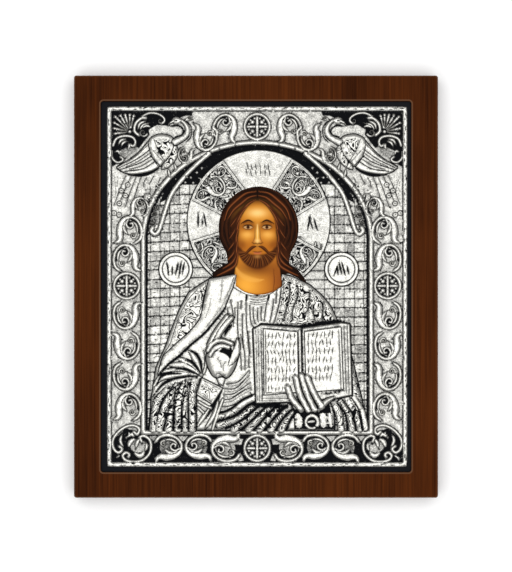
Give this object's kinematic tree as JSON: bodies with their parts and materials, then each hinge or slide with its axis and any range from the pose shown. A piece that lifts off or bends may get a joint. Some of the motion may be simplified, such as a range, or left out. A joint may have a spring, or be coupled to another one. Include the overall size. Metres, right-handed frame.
{
  "type": "icon panel",
  "caption": "Wall icon: embossed silver cover with a haloed figure under an arch, laid over a painted head in the routed recess of a dark walnut board.",
  "frame": {"origin": "middle of the panel's back face, which lies on the ground", "axes": "+Z out of the picture face, +Y towards the picture's top edge, +X towards the viewer's right"},
  "size_m": [0.25, 0.29, 0.0199],
  "materials": {
    "walnut_stained": "dark walnut stain under satin lacquer",
    "painted_board": "thin board painted black, with a painted head, under satin varnish",
    "silver_oxidised": "embossed and chased silver, blackened in the hollows and rubbed bright on the high parts"
  },
  "bodies": {
    "root": {"walnut_panel": "walnut_stained", "painted_board": "painted_board", "silver_cover": "silver_oxidised"}
  },
  "joints": []
}
